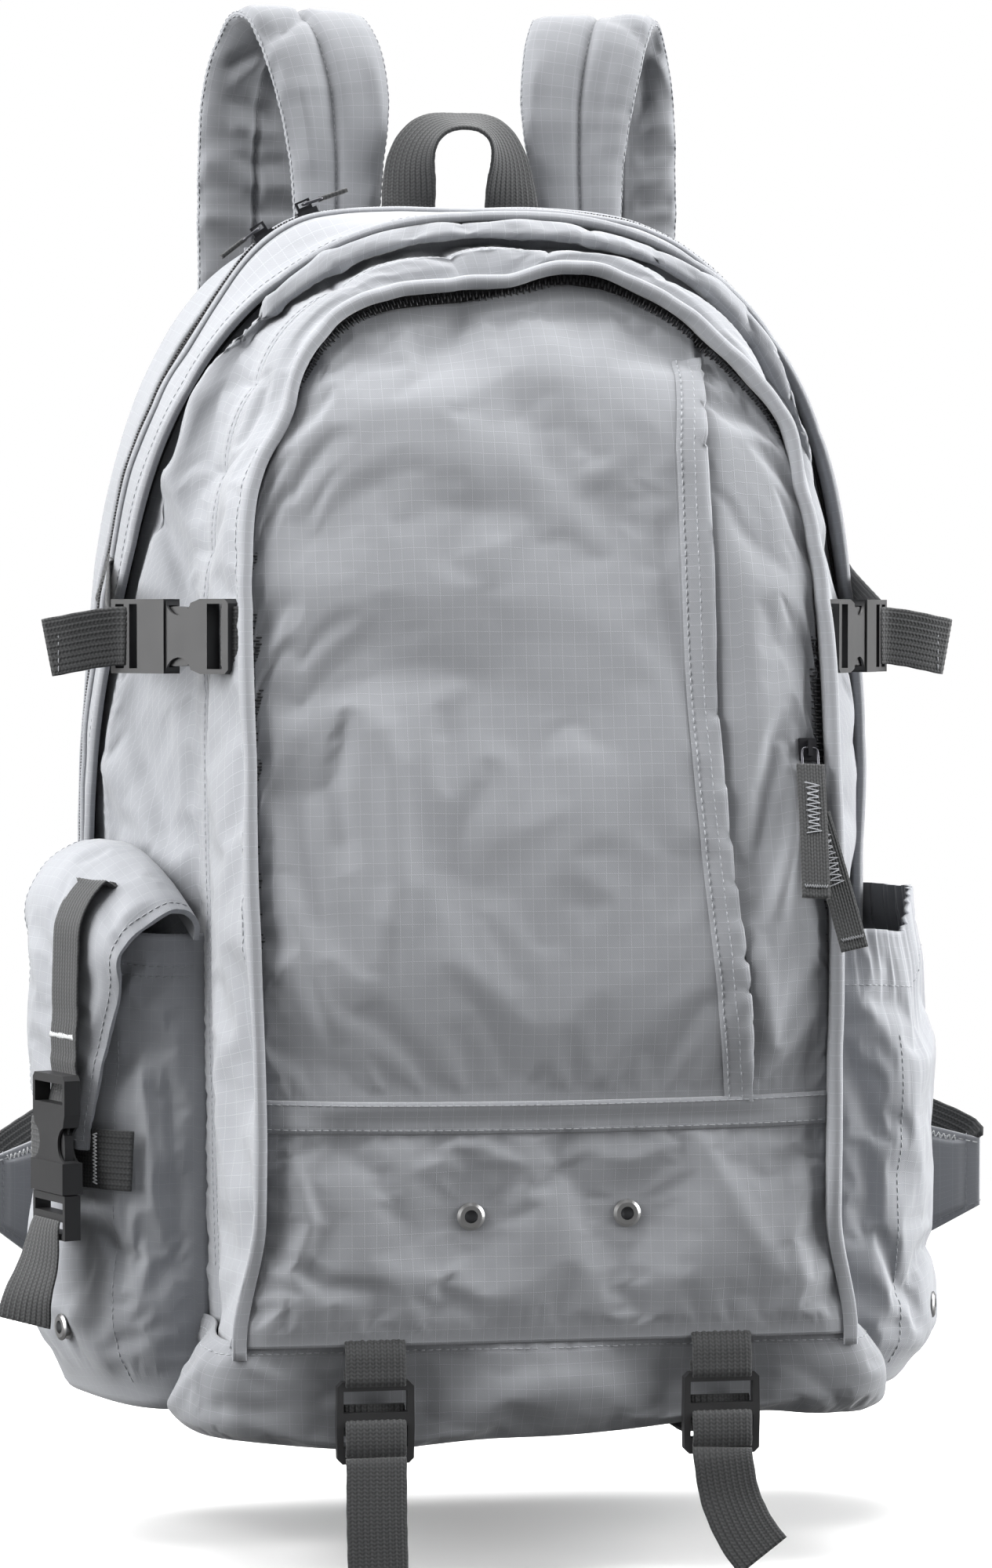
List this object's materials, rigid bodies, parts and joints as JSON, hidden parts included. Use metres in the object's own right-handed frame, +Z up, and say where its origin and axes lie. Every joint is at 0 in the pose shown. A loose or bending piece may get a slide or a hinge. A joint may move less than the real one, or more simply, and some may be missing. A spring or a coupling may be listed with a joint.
{
  "type": "daypack",
  "caption": "Daypack with domed zipped compartments, a flapped side pocket, an open bottle pocket, compression buckles, base lash straps, padded shoulder straps and a haul loop.",
  "frame": {"origin": "centre of the resting face under the base, on the pack's middle plane", "axes": "+Z up, +X to the viewer's right when the front panel is seen, front of the pack towards -Y, wearer's back towards +Y"},
  "size_m": [0.44, 0.3064, 0.6646],
  "materials": {
    "shell_cloth": "light cool-grey ripstop, fine twill with a square reinforcing grid, soft sheen",
    "base_cloth": "light grey ripstop, slightly slack",
    "strap_cloth": "light grey woven cloth over foam",
    "sleeve_cloth": "plain lining cloth",
    "frame_plastic": "smooth black sheet",
    "webbing": "dark grey ribbed webbing",
    "zip": "dark coil on dark tape",
    "zip_metal": "dark gunmetal",
    "eyelet_metal": "satin steel",
    "buckle_plastic": "fine moulded, satin edges"
  },
  "bodies": {
    "pack": {"back_panel": "strap_cloth", "frame_sheet": "frame_plastic", "inner_sleeve": "sleeve_cloth", "rear_gusset": "shell_cloth", "middle_shell": "shell_cloth", "base_tray": "base_cloth", "base_board": "frame_plastic", "main_zip": "zip", "middle_flap_welt": "shell_cloth", "middle_zip": "zip", "middle_slider": "zip_metal", "front_gusset": "shell_cloth", "front_zip": "zip", "front_flap_welt": "shell_cloth", "front_panel": "shell_cloth", "placket": "shell_cloth", "seam_band": "shell_cloth", "lower_front_panel": "shell_cloth", "front_eyelets": "eyelet_metal", "left_pocket": "shell_cloth", "right_pocket": "shell_cloth", "drain_eyelets": "eyelet_metal", "compression_loops": "webbing", "compression_female_left": "buckle_plastic", "compression_web_left": "webbing", "compression_female_right": "buckle_plastic", "compression_web_right": "webbing", "strap_yoke": "strap_cloth", "lower_web_left": "webbing", "lower_web_right": "webbing", "strap_wings": "shell_cloth", "lash_loops": "webbing", "lash_straps": "webbing"},
    "handle": {"grab_handle": "webbing"},
    "strap_left": {"shoulder_strap_left": "strap_cloth", "strap_adjuster_left": "buckle_plastic"},
    "strap_right": {"shoulder_strap_right": "strap_cloth", "strap_adjuster_right": "buckle_plastic"},
    "comp_male_left": {"compression_male_left": "buckle_plastic"},
    "comp_tail_left": {"compression_tail_left": "webbing"},
    "comp_male_right": {"compression_male_right": "buckle_plastic"},
    "comp_tail_right": {"compression_tail_right": "webbing"},
    "flap": {"pocket_flap": "shell_cloth", "flap_strap": "webbing", "flap_buckle_female": "buckle_plastic"},
    "flap_male": {"flap_buckle_male": "buckle_plastic"},
    "flap_tail": {"flap_tail": "webbing"},
    "lash_lock_left": {"lash_lock_left": "buckle_plastic"},
    "lash_tail_left": {"lash_tail_left": "webbing"},
    "lash_lock_right": {"lash_lock_right": "buckle_plastic"},
    "lash_tail_right": {"lash_tail_right": "webbing"},
    "zip_slider_lower": {"main_zip_slider_left": "zip_metal"},
    "zip_pull_lower": {"main_zip_pull_left": "webbing"},
    "zip_slider_upper": {"main_zip_slider_right": "zip_metal"},
    "zip_pull_upper": {"main_zip_pull_right": "webbing"},
    "front_slider_upper": {"front_slider_upper": "zip_metal"},
    "front_pull_upper": {"front_pull_upper": "webbing"},
    "front_slider_lower": {"front_slider_lower": "zip_metal"},
    "front_pull_lower": {"front_pull_lower": "webbing"}
  },
  "joints": [
    {"name": "handle_fold", "type": "hinge", "parent": "pack", "child": "handle", "pos_m": [0, 0.1076, 0.515], "axis": [1, 0, 0], "range_deg": [-8, 60]},
    {"name": "shoulder_strap_left_swing", "type": "hinge", "parent": "pack", "child": "strap_left", "pos_m": [-0.0545, 0.113, 0.508], "axis": [1, 0, 0], "range_deg": [0, 25], "deforming": ["lower_web_left"]},
    {"name": "shoulder_strap_right_swing", "type": "hinge", "parent": "pack", "child": "strap_right", "pos_m": [0.0545, 0.113, 0.508], "axis": [1, 0, 0], "range_deg": [0, 25], "deforming": ["lower_web_right"]},
    {"name": "compression_left_release", "type": "slide", "parent": "pack", "child": "comp_male_left", "axis": [-0.6198, 0.7848, 0], "range_m": [0, 0.032], "deforming": ["compression_web_left"]},
    {"name": "compression_left_tail_swing", "type": "hinge", "parent": "comp_male_left", "child": "comp_tail_left", "pos_m": [-0.16703, -0.03434, 0.325], "axis": [0, 0, 1], "range_deg": [-10, 35]},
    {"name": "compression_right_release", "type": "slide", "parent": "pack", "child": "comp_male_right", "axis": [0.5201, 0.8541, 0], "range_m": [0, 0.032], "deforming": ["compression_web_right"]},
    {"name": "compression_right_tail_swing", "type": "hinge", "parent": "comp_male_right", "child": "comp_tail_right", "pos_m": [0.16092, -0.02929, 0.325], "axis": [0, 0, -1], "range_deg": [-10, 35]},
    {"name": "pocket_flap_lift", "type": "hinge", "parent": "pack", "child": "flap", "pos_m": [-0.15387, 0.02019, 0.236], "axis": [-0.355, 0.9349, 0], "range_deg": [0, 70]},
    {"name": "flap_buckle_release", "type": "slide", "parent": "flap", "child": "flap_male", "axis": [0, 0, -1], "range_m": [0, 0.032]},
    {"name": "flap_tail_swing", "type": "hinge", "parent": "flap_male", "child": "flap_tail", "pos_m": [-0.19625, -0.02371, 0.08], "axis": [-0.355, 0.9349, 0], "range_deg": [-8, 35]},
    {"name": "lash_lock_left_lift", "type": "hinge", "parent": "pack", "child": "lash_lock_left", "pos_m": [-0.071, -0.1094, 0.0246], "axis": [-1, 0, 0], "range_deg": [0, 60]},
    {"name": "lash_tail_left_swing", "type": "hinge", "parent": "lash_lock_left", "child": "lash_tail_left", "pos_m": [-0.071, -0.114, -0.007], "axis": [-1, 0, 0], "range_deg": [-15, 60]},
    {"name": "lash_lock_right_lift", "type": "hinge", "parent": "pack", "child": "lash_lock_right", "pos_m": [0.071, -0.1094, 0.0246], "axis": [-1, 0, 0], "range_deg": [0, 60]},
    {"name": "lash_tail_right_swing", "type": "hinge", "parent": "lash_lock_right", "child": "lash_tail_right", "pos_m": [0.071, -0.114, -0.007], "axis": [-1, 0, 0], "range_deg": [-15, 60]},
    {"name": "main_zip_lower_slider_travel", "type": "hinge", "parent": "pack", "child": "zip_slider_lower", "pos_m": [-0.0217, 0.044, 0.3813], "axis": [0, 1, 0], "range_deg": [-22, 0]},
    {"name": "main_zip_lower_pull_swing", "type": "hinge", "parent": "zip_slider_lower", "child": "zip_pull_lower", "pos_m": [-0.09833, 0.044, 0.4993], "axis": [0, 1, 0], "range_deg": [0, 60]},
    {"name": "main_zip_upper_slider_travel", "type": "hinge", "parent": "pack", "child": "zip_slider_upper", "pos_m": [-0.0217, 0.044, 0.3813], "axis": [0, 1, 0], "range_deg": [0, 8]},
    {"name": "main_zip_upper_pull_swing", "type": "hinge", "parent": "zip_slider_upper", "child": "zip_pull_upper", "pos_m": [-0.07893, 0.044, 0.50984], "axis": [0, 1, 0], "range_deg": [-60, 0]},
    {"name": "front_zip_upper_slider_travel", "type": "slide", "parent": "pack", "child": "front_slider_upper", "axis": [0, 0.1752, 0.9845], "range_m": [0, 0.05]},
    {"name": "front_zip_upper_pull_swing", "type": "hinge", "parent": "front_slider_upper", "child": "front_pull_upper", "pos_m": [0.1094, -0.10177, 0.27945], "axis": [1, 0, 0], "range_deg": [-60, 0]},
    {"name": "front_zip_lower_slider_travel", "type": "slide", "parent": "pack", "child": "front_slider_lower", "axis": [0, 0.1561, 0.9877], "range_m": [-0.05, 0]},
    {"name": "front_zip_lower_pull_swing", "type": "hinge", "parent": "front_slider_lower", "child": "front_pull_lower", "pos_m": [0.1094, -0.10516, 0.25929], "axis": [0, -0.9877, 0.1561], "range_deg": [0, 24]}
  ]
}
